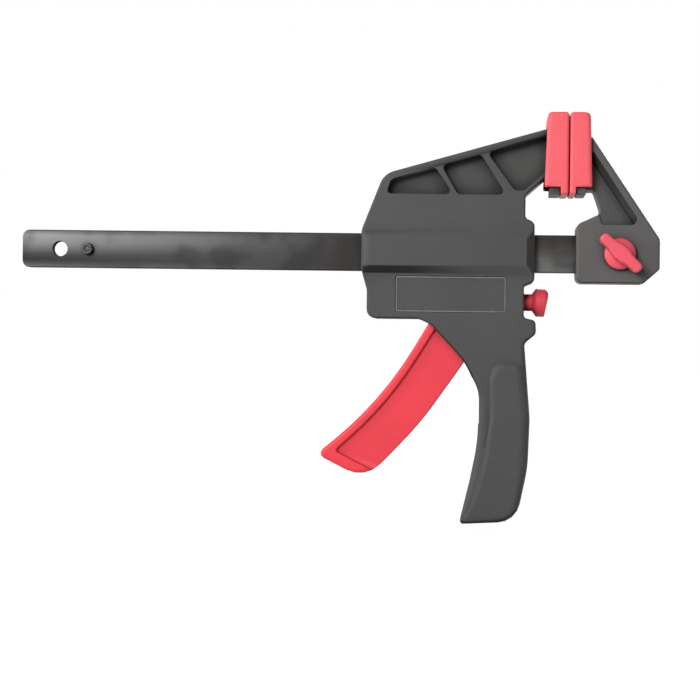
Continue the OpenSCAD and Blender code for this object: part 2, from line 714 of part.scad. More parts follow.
module release_button() {
    stem_r = stem_d / 2;
    head_r = button_d / 2;
    neck = notch_x + button_travel + 0.4;
    tip = brake_foot[0] + brake_t / 2 / cos(brake_lean) + 1.2 * tan(brake_lean) + 0.05;
    collar = inner_notch - 0.3;
    face = neck + 9.4;
    color(red) from_bar() translate([0, 0, -button_drop]) difference() {
        rotate([0, 90, 0]) rotate_extrude($fn = round_fn)
            polygon([[0, tip], [1.2, tip], [2.3, tip + 0.35], [3, tip + 1], [3, collar - 1.8],
                     [stem_r + 1.6, collar - 1.8], [stem_r + 1.6, collar], [stem_r, collar], [stem_r, neck],
                     [head_r - 0.4, neck + 2], [head_r, neck + 2.7], [head_r, neck + 6.9],
                     [head_r - 0.5, neck + 8.2], [head_r - 1.5, neck + 9], [head_r - 2.8, face], [0, face]]);
        // the thumb's face leans back towards its foot
        translate([face, 0, head_r - 2]) rotate([0, face_lean, 0])
            block([0, -button_d, -2 * button_d], [button_d, button_d, button_d]);
    }
}

bar();
stop_pin(bar_free + pin_inset);  // free_end_stop_pin
stop_pin(jaw_pin_x);  // jaw_end_stop_pin
fixed_jaw();
fixed_pad();
jaw_nut();
wing_knob();
knob_stud();
knob_washer();
front_shell();
back_shell();
shell_screws();
movable_pad();
trigger();
trigger_pin();
drive_plate_near();
drive_plate_far();
drive_spring_seat();
drive_spring();
brake_plate();
brake_spring();
release_button();
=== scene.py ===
"""The look of a one-handed quick release bar clamp: finishes, softened edges, details, stage and camera."""

import math

import bmesh
import bpy
from bpy.props import FloatProperty, FloatVectorProperty, PointerProperty
from mathutils import Matrix, Vector


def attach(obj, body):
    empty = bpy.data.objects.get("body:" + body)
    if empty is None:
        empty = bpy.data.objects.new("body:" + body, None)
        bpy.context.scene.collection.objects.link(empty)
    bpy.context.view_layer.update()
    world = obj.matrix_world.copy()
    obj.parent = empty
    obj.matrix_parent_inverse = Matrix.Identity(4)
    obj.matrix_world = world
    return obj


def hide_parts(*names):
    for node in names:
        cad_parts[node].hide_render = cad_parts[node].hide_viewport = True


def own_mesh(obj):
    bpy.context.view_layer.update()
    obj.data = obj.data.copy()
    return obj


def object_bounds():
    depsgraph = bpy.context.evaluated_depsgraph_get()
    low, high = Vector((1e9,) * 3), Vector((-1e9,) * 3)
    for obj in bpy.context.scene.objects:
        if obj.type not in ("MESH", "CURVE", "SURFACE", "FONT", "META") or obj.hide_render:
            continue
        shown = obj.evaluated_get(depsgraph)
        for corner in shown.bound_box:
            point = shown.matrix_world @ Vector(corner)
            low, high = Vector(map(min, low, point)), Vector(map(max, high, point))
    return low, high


bl_info = {
    "name": "Quick Release Bar Clamp",
    "version": (1, 0, 0),
    "blender": (4, 5, 0),
    "location": "3D View > Sidebar > Clamp",
    "description": "Finishes, softened edges and stage of a one-handed bar clamp",
    "category": "Add Mesh",
}

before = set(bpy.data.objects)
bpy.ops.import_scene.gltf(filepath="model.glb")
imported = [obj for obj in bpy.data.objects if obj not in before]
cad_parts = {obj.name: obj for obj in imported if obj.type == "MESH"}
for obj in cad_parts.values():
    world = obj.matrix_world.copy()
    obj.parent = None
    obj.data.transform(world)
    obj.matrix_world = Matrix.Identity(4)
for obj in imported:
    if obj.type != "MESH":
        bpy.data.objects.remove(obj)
cad_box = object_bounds()

MM = 0.001
# Axis and half height of the bar, and the cross hole and stop pin at its free end
BAR_Z = -55 * MM
BAR_HALF = 10.5 * MM
HOLE_X = -283.1 * MM
HOLE_R = 4.2 * MM
PIN_X = -267.2 * MM
# Both ends of the casing along the bar, and half its thickness
CASING = (-114.1 * MM, -17.6 * MM)
CASING_HALF = 11 * MM
# Half the thickness of the trigger's rim and of its web
RIM_HALF = 8 * MM
WEB_HALF = 6 * MM
# Axis of the knob, its foot and the turn of its wing
BOLT_X = 28.4 * MM
KNOB_FOOT = 12.55 * MM
WING_TURN = math.radians(41.5)
# Half section of the knob's base and half the outline of its wing, in millimetres
KNOB_SECTION = (
    (0, 0), (8.1, 0), (8.7, 0.6), (8.7, 2.0), (8.3, 2.9),
    (7.4, 3.7), (6.1, 4.4), (4.4, 5.0), (2.2, 5.3), (0, 5.4),
)
WING_SIDE = (
    (-14.2, -2.8), (-8.5, -2.9), (-5.2, -3.3), (-1.8, -4.2),
    (1.8, -4.2), (5.2, -3.3), (8.5, -2.9), (14.2, -2.8),
)
# Points nearer than this are one
WELD = 0.02 * MM
# Name, place, target, size in metres and power in watts
LAMPS = (
    ("key_lamp", (-0.555, -1.3, 0.365), (-0.1, 0, -0.09), 0.6, 15.7),
    ("top_lamp", (-0.1, 0.8, 0.9), (-0.1, 0, -0.1), 0.8, 3),
    ("side_lamp", (-1.5, -0.4, 0.2), (-0.05, 0, -0.11), 0.5, 10),
    ("back_lamp", (0.35, 1.3, 0.36), (-0.1, 0, -0.09), 0.8, 20),
)
BLACK = (0, 0, 0)
WHITE = (1, 1, 1)
# The colour sockets of a Mix node: two inputs and the output
COLOUR_A = 6
COLOUR_B = 7
COLOUR_MIX = 2


# ---------- settings ----------


def number(name, about, value, **kind):
    return FloatProperty(name=name, description=about, default=value, **kind)


def length(name, about, value):
    return number(name, about, value, min=0, subtype="DISTANCE", unit="LENGTH")


def position(name, about, value):
    return number(name, about, value, subtype="DISTANCE", unit="LENGTH")


def angle(name, about, degrees):
    return number(name, about, math.radians(degrees), subtype="ANGLE")


def share(name, about, value):
    return number(name, about, value, min=0, max=1, subtype="FACTOR")


def colour(name, about, value):
    return FloatVectorProperty(
        name=name, description=about, default=value, size=3, min=0, max=1, subtype="COLOR"
    )


class ClampColours(bpy.types.PropertyGroup):
    grey: colour("Grey Plastic", "Casing and grip", (0.073, 0.074, 0.072))
    # Painted light: the fixed jaw's grey is made paler to stand for more light falling on it
    lit_jaw_grey: colour("Jaw Grey", "Fixed jaw, from a slightly paler batch", (0.114, 0.111, 0.110))
    red: colour("Red Plastic", "Trigger", (0.86, 0.052, 0.076))
    button: colour("Button Red", "Release button", (0.74, 0.062, 0.088))
    knob: colour("Knob Red", "Wing knob", (0.90, 0.108, 0.15))
    pad: colour("Soft Red", "Slip-on pads", (0.96, 0.128, 0.155))
    # Bar tones: the blackened steel's own black near the casing, and lighter tones for the free end and the
    # middle of the bar that carry painted reflections of the lamps
    steel: colour("Worn Steel", "Bar where the black has worn off", (0.112, 0.112, 0.110))
    shade_and_mid_steel: colour("Grey Steel", "Middle of the bar", (0.022, 0.0218, 0.0213))
    oxide: colour("Blackened Steel", "Bar near the casing", (0.0095, 0.0078, 0.0073))
    zinc: colour("Zinc", "Screws, nut, washer, pins and plates", (0.52, 0.53, 0.53))
    line: colour("Panel Line", "Thin frame round the bare panel", (0.2, 0.21, 0.2))


class ClampFinish(bpy.types.PropertyGroup):
    plastic_roughness: share("Plastic Roughness", "Roughness of the grey plastic", 0.52)
    red_roughness: share("Red Roughness", "Roughness of the red plastic", 0.4)
    pad_roughness: share("Pad Roughness", "Roughness of the soft pads", 0.5)
    grain: length("Grain", "Size of the moulded grain", 0.7 * MM)
    grain_depth: length("Grain Depth", "Depth of the moulded grain", 0.02 * MM)
    plastic_specular: share("Plastic Reflection", "Reflection level of the grey plastic", 0.15)
    # Painted shade in corners and beside neighbouring parts: how far it reaches, and the brightness left at
    # its darkest, for the grey pieces and the red ones
    shade_reach: length("Grime Reach", "How far dirt spreads out of a corner", 9 * MM)
    shade_and_mid_steel: share("Grime", "Brightness left at the bottom of a corner of the grey plastic", 0.16)
    red_shade: share("Red Grime", "The same for the red pieces", 0.4)
    red_reach: length("Red Grime Reach", "How far dirt spreads on the red pieces", 7 * MM)
    underside: share("Underside Shade", "Darkening of slopes that look down", 0.74)
    groove: share("Groove Shade", "Darkening along the moulded groove of the grip", 0.16)
    smooth_angle: angle("Smooth Angle", "Edges flatter than this are shaded smooth", 38)


class ClampDetails(bpy.types.PropertyGroup):
    edge: length("Edge", "Softening of the moulded edges", 0.45 * MM)
    rim: length("Rim", "Rounding along the rim of the trigger", 0.85 * MM)
    step: length("Step", "Rounding at head and foot of the step from rim to web", 0.95 * MM)
    seam: length("Seam", "Chamfer along the parting line of the shells", 0.2 * MM)
    arris: length("Arris", "Softening of the steel edges", 0.25 * MM)
    frame_line: length("Frame Line", "Width of the line round the bare panel", 0.5 * MM)
    recess: length("Cross Recess", "Width of the cross in the screw heads", 0.9 * MM)
    wing_round: length("Wing Rounding", "Rounding along the top of the wing", 1.3 * MM)


class ClampStage(bpy.types.PropertyGroup):
    distance: length("Distance", "From the camera to the middle plane of the clamp", 1.0)
    foot_x: position("Camera X", "Camera's place along the bar", -0.04528)
    foot_z: position("Camera Z", "Camera's height", -0.10992)
    yaw: angle("Yaw", "Turn of the camera", 1.068)
    pitch: angle("Pitch", "Rise of the camera's view", 0.054)
    roll: angle("Roll", "Tilt of the picture", 0.696)
    lens: number("Lens", "Focal length in millimetres", 92.216, min=1)
    shift: number("Shift", "Sideways shift of the lens, in picture widths", -0.14472)
    ambient: number("Ambient", "Strength of the light from all round", 0.1, min=0)


def settings(group):
    """One of the scene's groups of values: colours, finish, details or stage."""
    return getattr(bpy.context.scene, "clamp_" + group)


# ---------- materials ----------


def new_material(name):
    """A material with its nodes: a function that adds one, a function that joins two, and the shader."""
    if name in bpy.data.materials:
        raise ValueError(f"The material {name} is there already")
    material = bpy.data.materials.new(name)
    material.use_nodes = True
    tree = material.node_tree
    tree.nodes.clear()

    def add(kind, **values):
        node = tree.nodes.new("ShaderNode" + kind)
        for key, value in values.items():
            if hasattr(node, key):
                setattr(node, key, value)
            else:
                node.inputs[key.replace("_", " ")].default_value = value
        return node

    def join(a, out, b, into):
        tree.links.new(a.outputs[out], b.inputs[into])

    shader = add("BsdfPrincipled")
    output = add("OutputMaterial")
    join(shader, "BSDF", output, "Surface")
    return material, add, join, shader


def colour_stops(ramp, stops):
    """Sets the stops of a colour ramp: [(place, (r, g, b)), ...]."""
    elements = ramp.color_ramp.elements
    while len(elements) > len(stops):
        elements.remove(elements[-1])
    while len(elements) < len(stops):
        elements.new(1)
    for element, (place, tone) in zip(elements, stops):
        element.position = place
        element.color = (*tone, 1)


def scaled(tone, k):
    return tuple(min(1, c * k) for c in tone)


def dimmed(add, join, colour, out, factor):
    """A colour times the result of a factor's node."""
    product = add("VectorMath", operation="SCALE")
    join(colour, out, product, 0)
    join(factor, "Result", product, "Scale")
    return product


def shaded(add, join, colour, area, band, shade):
    """Darkens a colour by a share of shade where both an area and a band are 1."""
    part = add("Math", operation="MULTIPLY")
    join(*area, part, 0)
    join(*band, part, 1)
    left = add("MapRange", To_Min=1, To_Max=1 - shade)
    join(part, "Value", left, "Value")
    return dimmed(add, join, colour, "Vector", left)


def corner_shade(add, join, colour, out, reach, left):
    """Paints shade into a colour in recesses and beside neighbouring parts, where ambient occlusion finds
    the light short.
    """
    hidden = add("AmbientOcclusion", samples=8, Distance=reach)
    fade = add("MapRange", From_Min=0.35, From_Max=0.93, To_Min=left, To_Max=1)
    join(hidden, "AO", fade, "Value")
    return dimmed(add, join, colour, out, fade)


def under_slopes(add, join, place, colour, shade):
    """Paints shade on the slopes that look down, such as the lower side of the ridge and the jaw's drafted
    wall.
    """
    facing = add("SeparateXYZ")
    join(place, "Normal", facing, "Vector")
    aside = add("Math", operation="ABSOLUTE")
    join(facing, "Y", aside, 0)
    slope = add("ValToRGB")
    colour_stops(slope, [(0.35, BLACK), (0.5, WHITE), (0.78, WHITE), (0.9, BLACK)])
    join(aside, "Value", slope, "Fac")
    down = add("MapRange", From_Min=-0.15, From_Max=-0.32)
    join(facing, "Z", down, "Value")
    return shaded(add, join, colour, (slope, "Color"), (down, "Result"), shade)


def grip_groove_shade(add, join, place, colour, shade):
    """Paints the shade of a shallow groove along the front of the grip, which follows a curve x(z)."""
    axes = add("SeparateXYZ")
    join(place, "Object", axes, "Vector")
    height = add("MapRange", From_Min=BAR_Z - 150 * MM, From_Max=BAR_Z - 65 * MM)
    join(axes, "Z", height, "Value")
    path = add("FloatCurve")
    curve = path.mapping.curves[0]
    curve.points[0].location = (0, 0.22)
    curve.points[1].location = (1, 0.7)
    for bend in (
        (0.12, 0.49), (0.24, 0.66), (0.36, 0.75), (0.5, 0.85), (0.62, 0.885), (0.76, 0.88), (0.87, 0.79)
    ):
        curve.points.new(*bend)
    path.mapping.update()
    join(height, "Result", path, "Value")
    line = add("MapRange", To_Min=CASING[1] - 42.4 * MM, To_Max=CASING[1] - 22.4 * MM)
    join(path, "Value", line, "Value")
    aside = add("Math", operation="SUBTRACT")
    join(axes, "X", aside, 0)
    join(line, "Result", aside, 1)
    across = add("MapRange", From_Min=-6 * MM, From_Max=2 * MM)
    join(aside, "Value", across, "Value")
    band = add("ValToRGB")
    colour_stops(band, [(0.14, BLACK), (0.34, WHITE), (0.6, WHITE), (0.74, BLACK)])
    join(across, "Result", band, "Fac")
    ends = add("ValToRGB")
    colour_stops(ends, [(0.0, (0.4, 0.4, 0.4)), (0.1, WHITE), (0.85, WHITE), (0.97, BLACK)])
    join(height, "Result", ends, "Fac")
    return shaded(add, join, colour, (band, "Color"), (ends, "Color"), shade)


def moulded(
    name, tone, roughness, specular, edge, left, reach, mottle=0.05, soft=0.0, underside=0.0, groove=0.0
):
    """Injection moulded plastic: fine grain, faint mottling, uneven sheen, soft edges, and painted shade in
    its corners and, where asked, on slopes that look down and along the grip's groove.
    """
    values = settings("finish")
    material, add, join, shader = new_material(name)
    place = add("TexCoord")
    mottling = add("TexNoise", Scale=38, Detail=4, Roughness=0.55)
    join(place, "Object", mottling, "Vector")
    tones = add("ValToRGB")
    colour_stops(tones, [(0.3, scaled(tone, 1 - mottle)), (0.7, scaled(tone, 1 + mottle))])
    join(mottling, "Fac", tones, "Fac")
    # Painted shade in corners and beside neighbours
    shade_painted = corner_shade(add, join, tones, "Color", reach, left)
    if underside:
        # Painted shade on slopes that look down
        shade_painted = under_slopes(add, join, place, shade_painted, underside)
    if groove:
        # Painted shade along the grip's groove
        shade_painted = grip_groove_shade(add, join, place, shade_painted, groove)
    join(shade_painted, "Vector", shader, "Base Color")
    smears = add("TexNoise", Scale=120, Detail=3, Roughness=0.6)
    join(place, "Object", smears, "Vector")
    sheen = add("MapRange", To_Min=roughness - 0.05, To_Max=roughness + 0.07)
    join(smears, "Fac", sheen, "Value")
    join(sheen, "Result", shader, "Roughness")
    grains = add("TexNoise", Scale=1 / values.grain, Detail=2, Roughness=0.5)
    join(place, "Object", grains, "Vector")
    rounding = add("Bevel", samples=6, Radius=edge)
    bump = add("Bump", Strength=0.6, Distance=values.grain_depth)
    join(grains, "Fac", bump, "Height")
    join(rounding, "Normal", bump, "Normal")
    join(bump, "Normal", shader, "Normal")
    shader.inputs["Specular IOR Level"].default_value = specular
    if soft:
        shader.inputs["Subsurface Weight"].default_value = soft
        shader.inputs["Subsurface Radius"].default_value = (1.0, 0.25, 0.15)
        shader.inputs["Subsurface Scale"].default_value = 2 * MM
    return material


def bar_steel(wear_and_reflection, shade_and_mid_steel, oxide):
    """Blackened bar: the steel's own black near the casing, with painted reflections of the lamps that make
    it a lighter satin grey towards the free end and band it across its height, and a painted shadow along
    the top of the short end beyond the casing.
    """
    material, add, join, shader = new_material("blackened_bar")
    place = add("TexCoord")
    wander = add("TexNoise", Scale=22, Detail=3, Roughness=0.55)
    join(place, "Object", wander, "Vector")
    axes = add("SeparateXYZ")
    join(place, "Object", axes, "Vector")

    def reach(axis, low, high, wobble=0.0):
        """0 to 1 between two places on an axis, with an uneven edge."""
        span = add("MapRange", From_Min=low, From_Max=high)
        join(axes, axis, span, "Value")
        if not wobble:
            return span, "Result"
        shift = add("MapRange", To_Min=-wobble, To_Max=wobble)
        join(wander, "Fac", shift, "Value")
        total = add("Math", operation="ADD", use_clamp=True)
        join(span, "Result", total, 0)
        join(shift, "Result", total, 1)
        return total, "Value"

    def tones(across, *stops):
        """A tone across the height of the bar, from stops of (place, tone, brightness); the brightness
        stops paint reflection and shade.
        """
        ramp = add("ValToRGB")
        colour_stops(ramp, [(height, scaled(tone, bright)) for height, tone, bright in stops])
        join(*across, ramp, "Fac")
        return ramp, "Color"

    def layer(under, over, across):
        mix = add("Mix", data_type="RGBA")
        join(*across, mix, "Factor")
        join(*under, mix, COLOUR_A)
        join(*over, mix, COLOUR_B)
        return mix, COLOUR_MIX

    up = reach("Z", BAR_Z - BAR_HALF, BAR_Z + BAR_HALF)
    uneven = reach("Z", BAR_Z - BAR_HALF, BAR_Z + BAR_HALF, 0.07)
    # Painted reflection at the free end: a light strip along the bottom edge, a dark band low down and
    # bright bands higher up
    free = tones(
        uneven, (0.02, wear_and_reflection, 0.5), (0.1, wear_and_reflection, 0.17), (0.2, wear_and_reflection, 0.045), (0.34, wear_and_reflection, 0.12),
        (0.48, wear_and_reflection, 0.46), (0.66, wear_and_reflection, 0.88), (0.84, wear_and_reflection, 1.08), (0.97, wear_and_reflection, 0.45),
    )
    # Painted reflection in the middle of the bar, lighter at the bottom edge and high up
    middle = tones(
        up, (0.0, shade_and_mid_steel, 1.3), (0.1, shade_and_mid_steel, 0.85), (0.45, shade_and_mid_steel, 1), (0.75, shade_and_mid_steel, 1.5), (0.92, shade_and_mid_steel, 1.3),
        (1.0, shade_and_mid_steel, 0.9),
    )
    # Near the casing the steel's own black, with painted highlights along both edges
    dark = tones(up, (0.0, oxide, 1.5), (0.12, oxide, 1), (0.85, oxide, 1), (1.0, oxide, 1.6))
    # On the short end beyond the casing, a painted shadow darkens the top of the bar
    stub = tones(
        up, (0.0, shade_and_mid_steel, 3.8), (0.38, shade_and_mid_steel, 3.5), (0.55, oxide, 5.6), (0.72, oxide, 3), (0.9, oxide, 1.8),
        (1.0, oxide, 2.4),
    )
    # Lengthwise the painted reflection fades from the free end through the middle to the steel's own black
    # near the casing
    skin = layer(free, middle, reach("X", -300 * MM, -165 * MM, 0.12))
    skin = layer(skin, dark, reach("X", -158 * MM, -124 * MM, 0.2))
    skin, skin_colour = layer(skin, stub, reach("X", -30 * MM, -20 * MM))

    stretch = add("Mapping", Scale=(9, 300, 300))
    join(place, "Object", stretch, "Vector")
    streaks = add("TexNoise", Scale=1, Detail=5, Roughness=0.6)
    join(stretch, "Vector", streaks, "Vector")
    shade = add("MapRange", To_Min=0.72, To_Max=1.28)
    join(streaks, "Fac", shade, "Value")
    streaked = dimmed(add, join, skin, skin_colour, shade)
    smudges = add("TexNoise", Scale=42, Detail=2, Roughness=0.5)
    join(place, "Object", smudges, "Vector")
    smeared = add("MapRange", From_Min=0.36, From_Max=0.5, To_Min=0.6, To_Max=1.06)
    join(smudges, "Fac", smeared, "Value")
    stained = dimmed(add, join, streaked, "Vector", smeared)
    # Painted shade where the bar meets the casing, the jaw and the pins
    shade_painted = corner_shade(add, join, stained, "Vector", 4 * MM, 0.2)

    side_on = add("VectorMath", operation="MULTIPLY")
    side_on.inputs[1].default_value = (1, 0, 1)
    join(place, "Object", side_on, 0)
    from_axis = add("VectorMath", operation="DISTANCE")
    from_axis.inputs[1].default_value = (HOLE_X, 0, BAR_Z)
    join(side_on, "Vector", from_axis, 0)
    bored = add("Math", operation="LESS_THAN")
    bored.inputs[1].default_value = HOLE_R + 0.1 * MM
    join(from_axis, "Value", bored, 0)

    def rough_bore(outside, inside):
        """One value on the rolled faces and another in the drilled hole, whose wall is rough and dark."""
        change = add("MapRange", To_Min=outside, To_Max=inside)
        join(bored, "Value", change, "Value")
        return change

    toned = dimmed(add, join, shade_painted, "Vector", rough_bore(1, 0.3))
    join(toned, "Vector", shader, "Base Color")
    join(rough_bore(0.7, 0), "Result", shader, "Metallic")
    join(rough_bore(0.5, 0.05), "Result", shader, "Specular IOR Level")
    rough = add("MapRange", To_Min=0.36, To_Max=0.56)
    join(streaks, "Fac", rough, "Value")
    roughest = add("Math", operation="MAXIMUM")
    join(rough, "Result", roughest, 0)
    join(rough_bore(0, 0.95), "Result", roughest, 1)
    join(roughest, "Value", shader, "Roughness")
    bump = add("Bump", Strength=0.35, Distance=0.03 * MM)
    join(streaks, "Fac", bump, "Height")
    join(bump, "Normal", shader, "Normal")
    return material


def bright_metal(name, tone, roughness):
    """Plated or drawn metal with fine scratches."""
    material, add, join, shader = new_material(name)
    place = add("TexCoord")
    stretch = add("Mapping", Scale=(300, 300, 300))
    join(place, "Object", stretch, "Vector")
    marks = add("TexNoise", Scale=1, Detail=4, Roughness=0.6)
    join(stretch, "Vector", marks, "Vector")
    tones = add("ValToRGB")
    colour_stops(tones, [(0.3, scaled(tone, 0.85)), (0.7, scaled(tone, 1.1))])
    join(marks, "Fac", tones, "Fac")
    # Painted shade in corners and beside neighbours
    shade_painted = corner_shade(add, join, tones, "Color", 2.5 * MM, 0.3)
    join(shade_painted, "Vector", shader, "Base Color")
    rough = add("MapRange", To_Min=roughness - 0.06, To_Max=roughness + 0.1)
    join(marks, "Fac", rough, "Value")
    join(rough, "Result", shader, "Roughness")
    shader.inputs["Metallic"].default_value = 1
    return material


def printed_line(tone):
    """The thin matt line printed round the bare panel."""
    material, add, join, shader = new_material("panel_line_ink")
    place = add("TexCoord")
    wear_and_reflection = add("TexNoise", Scale=160, Detail=4, Roughness=0.6)
    join(place, "Object", wear_and_reflection, "Vector")
    tones = add("ValToRGB")
    colour_stops(tones, [(0.35, scaled(tone, 0.65)), (0.6, tone)])
    join(wear_and_reflection, "Fac", tones, "Fac")
    join(tones, "Color", shader, "Base Color")
    shader.inputs["Roughness"].default_value = 0.6
    return material


# ---------- mesh helpers ----------


def finish(bm, name, body, material, node=None, smooth=None):
    """Makes a piece from a bmesh: smooth with sharp edges, in its material, riding on its body."""
    mesh = bpy.data.meshes.new(name)
    bm.to_mesh(mesh)
    bm.free()
    mesh.shade_smooth()
    mesh.set_sharp_from_angle(angle=smooth or settings("finish").smooth_angle)
    piece = bpy.data.objects.new(name, mesh)
    bpy.context.scene.collection.objects.link(piece)
    mesh.materials.append(bpy.data.materials[material])
    if not name.endswith("coil"):
        weighted = piece.modifiers.new("weighted_normals", "WEIGHTED_NORMAL")
        weighted.keep_sharp = True
    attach(piece, body)
    if node:
        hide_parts(node)
    return piece


def merged(node):
    """A CAD node's solid as a joined bmesh with its flat faces whole."""
    bm = bmesh.new()
    bm.from_mesh(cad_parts[node].data)
    bmesh.ops.remove_doubles(bm, verts=bm.verts, dist=WELD)
    bmesh.ops.dissolve_degenerate(bm, dist=WELD, edges=bm.edges)
    bmesh.ops.dissolve_limit(bm, angle_limit=math.radians(0.5), verts=bm.verts, edges=bm.edges)
    return bm


def soften(bm, offset, degrees, segments, keep=None):
    """Rounds the edges that turn by more than some degrees, or those of them that keep accepts."""
    least = math.radians(degrees)
    sharp = [e for e in bm.edges if len(e.link_faces) == 2 and e.calc_face_angle(0) > least]
    edges = [e for e in sharp if keep is None or keep(e)]
    bmesh.ops.bevel(
        bm, geom=edges, offset=offset, offset_type="OFFSET", segments=segments, profile=0.5,
        affect="EDGES", clamp_overlap=False, material=-1,
    )


def middle_of(edge):
    return (edge.verts[0].co + edge.verts[1].co) / 2


def paint(node, material):
    """Gives a CAD node that stays in view its finish."""
    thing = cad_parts[node]
    if thing.data.materials:
        for i in range(len(thing.data.materials)):
            thing.material_slots[i].material = bpy.data.materials[material]
    else:
        thing.data.materials.append(bpy.data.materials[material])


# ---------- operators ----------


class ClampOperator:
    bl_options = {"REGISTER", "UNDO"}


class CLAMP_OT_materials(ClampOperator, bpy.types.Operator):
    """Make every finish of the clamp"""

    bl_idname = "clamp.materials"
    bl_label = "Materials"

    def execute(self, context):
        tones, sheens, edge = settings("colours"), settings("finish"), settings("details").edge
        # In these settings left and reach set the painted shade in corners, and underside the painted shade
        # on downward slopes
        grey = {
            "roughness": sheens.plastic_roughness, "specular": sheens.plastic_specular, "edge": edge,
            "left": sheens.shade_and_mid_steel, "reach": sheens.shade_reach, "underside": sheens.underside,
        }
        # The fixed jaw gets a lighter painted corner shade that reaches less far
        less_shaded_grey = {**grey, "left": sheens.shade_and_mid_steel * 2.6, "reach": sheens.shade_reach * 0.6}
        red = {
            "roughness": sheens.red_roughness, "specular": 0.25, "edge": edge,
            "left": sheens.red_shade, "reach": sheens.red_reach, "soft": 0.1,
        }
        rubber = {
            **red, "roughness": sheens.pad_roughness, "specular": 0.3, "edge": edge * 1.6, "soft": 0.2
        }
        moulded("grained_grey", tones.grey, groove=sheens.groove, **grey)
        # The fixed jaw's paler grey is painted light
        moulded("grained_jaw_grey", tones.lit_jaw_grey, **less_shaded_grey)
        moulded("grained_red", tones.red, **{**red, "edge": edge * 1.6})
        moulded("button_plastic", tones.button, **red)
        moulded("knob_plastic", tones.knob, **{**red, "specular": 0.3})
        moulded("soft_red", tones.pad, mottle=0.035, **rubber)
        bar_steel(tones.steel, tones.shade_and_mid_steel, tones.oxide)
        bright_metal("zinc_plate", tones.zinc, 0.34)
        bright_metal("dark_pin", scaled(tones.zinc, 0.075), 0.42)
        bright_metal("worn_pin", scaled(tones.zinc, 0.13), 0.5)
        bright_metal("spring_wire", scaled(tones.zinc, 0.7), 0.3)
        printed_line(tones.line)
        return {"FINISHED"}


class CLAMP_OT_casing(ClampOperator, bpy.types.Operator):
    """Finish the two casing shells, with their parting line and the frame of the bare panel"""

    bl_idname = "clamp.casing"
    bl_label = "Casing"

    def execute(self, context):
        details = settings("details")
        for node in ("front_shell", "back_shell"):
            bm = merged(node)
            soften(bm, details.seam, 60, 1, self.on_the_seam)
            finish(bm, node + "_moulding", "sliding_jaw", "grained_grey", node)
        self.panel_frame(details)
        return {"FINISHED"}

    def on_the_seam(self, edge):
        return max(abs(v.co.y) for v in edge.verts) < 0.001 * MM

    def panel_frame(self, details):
        """A thin line just inside the sunk panel."""
        low = Vector((CASING[0] + 19.4 * MM, 0, BAR_Z - 32.9 * MM))
        high = Vector((CASING[1] - 16.6 * MM, 0, BAR_Z - 13.6 * MM))
        bm = bmesh.new()
        bmesh.ops.create_grid(bm, x_segments=1, y_segments=1, size=0.5)
        turn = Matrix.Rotation(math.radians(90), 4, "X")
        bmesh.ops.transform(bm, matrix=turn, verts=bm.verts)
        bmesh.ops.scale(bm, vec=(high.x - low.x, 1, high.z - low.z), verts=bm.verts)
        centre = (low + high) / 2 - Vector((0, CASING_HALF - 0.34 * MM, 0))
        bmesh.ops.translate(bm, vec=centre, verts=bm.verts)
        bmesh.ops.bevel(
            bm, geom=list(bm.verts), offset=0.8 * MM, segments=4, profile=0.5, affect="VERTICES",
            material=-1,
        )
        inner = list(bm.faces)
        bmesh.ops.inset_region(bm, faces=inner, thickness=details.frame_line, depth=0, use_boundary=True)
        bmesh.ops.delete(bm, geom=inner, context="FACES")
        bmesh.ops.solidify(bm, geom=list(bm.faces), thickness=0.04 * MM)
        bmesh.ops.recalc_face_normals(bm, faces=bm.faces)
        finish(bm, "panel_frame", "sliding_jaw", "panel_line_ink")


class CLAMP_OT_jaw(ClampOperator, bpy.types.Operator):
    """Finish the fixed jaw and its nut"""

    bl_idname = "clamp.fixed_jaw"
    bl_label = "Fixed Jaw"

    def execute(self, context):
        details = settings("details")
        bm = merged("fixed_jaw")
        soften(bm, details.edge, 40, 2)
        finish(bm, "fixed_jaw_moulding", "bar_assembly", "grained_jaw_grey", "fixed_jaw")
        nut = merged("jaw_nut")
        soften(nut, details.arris * 1.6, 50, 2)
        finish(nut, "hexagon_nut", "bar_assembly", "zinc_plate", "jaw_nut")
        return {"FINISHED"}


class CLAMP_OT_pads(ClampOperator, bpy.types.Operator):
    """Finish the slip-on pads"""

    bl_idname = "clamp.pads"
    bl_label = "Pads"

    def execute(self, context):
        details = settings("details")
        for node, body in (("fixed_pad", "bar_assembly"), ("movable_pad", "sliding_jaw")):
            bm = merged(node)
            soften(bm, details.edge, 55, 2)
            finish(bm, node + "_cap", body, "soft_red", node)
        return {"FINISHED"}


class CLAMP_OT_bar(ClampOperator, bpy.types.Operator):
    """Finish the bar and its stop pins"""

    bl_idname = "clamp.bar"
    bl_label = "Bar"

    def execute(self, context):
        arris = settings("details").arris
        bm = merged("bar")
        soften(bm, arris, 60, 2)
        finish(bm, "flat_bar", "bar_assembly", "blackened_bar", "bar")
        for node in ("free_end_stop_pin", "jaw_end_stop_pin"):
            pin = merged(node)
            soften(pin, arris, 60, 2)
            name = node.replace("stop_pin", "spring_pin")
            finish(pin, name, "bar_assembly", "dark_pin", node)
        core = bmesh.new()
        bmesh.ops.create_cone(
            core, cap_ends=True, segments=48, radius1=2.9 * MM, radius2=2.9 * MM, depth=12.6 * MM,
            matrix=Matrix.Translation((PIN_X, 0, BAR_Z)) @ Matrix.Rotation(math.radians(90), 4, "X"),
        )
        soften(core, arris, 60, 2)
        finish(core, "spring_pin_inner_coil", "bar_assembly", "worn_pin")
        return {"FINISHED"}


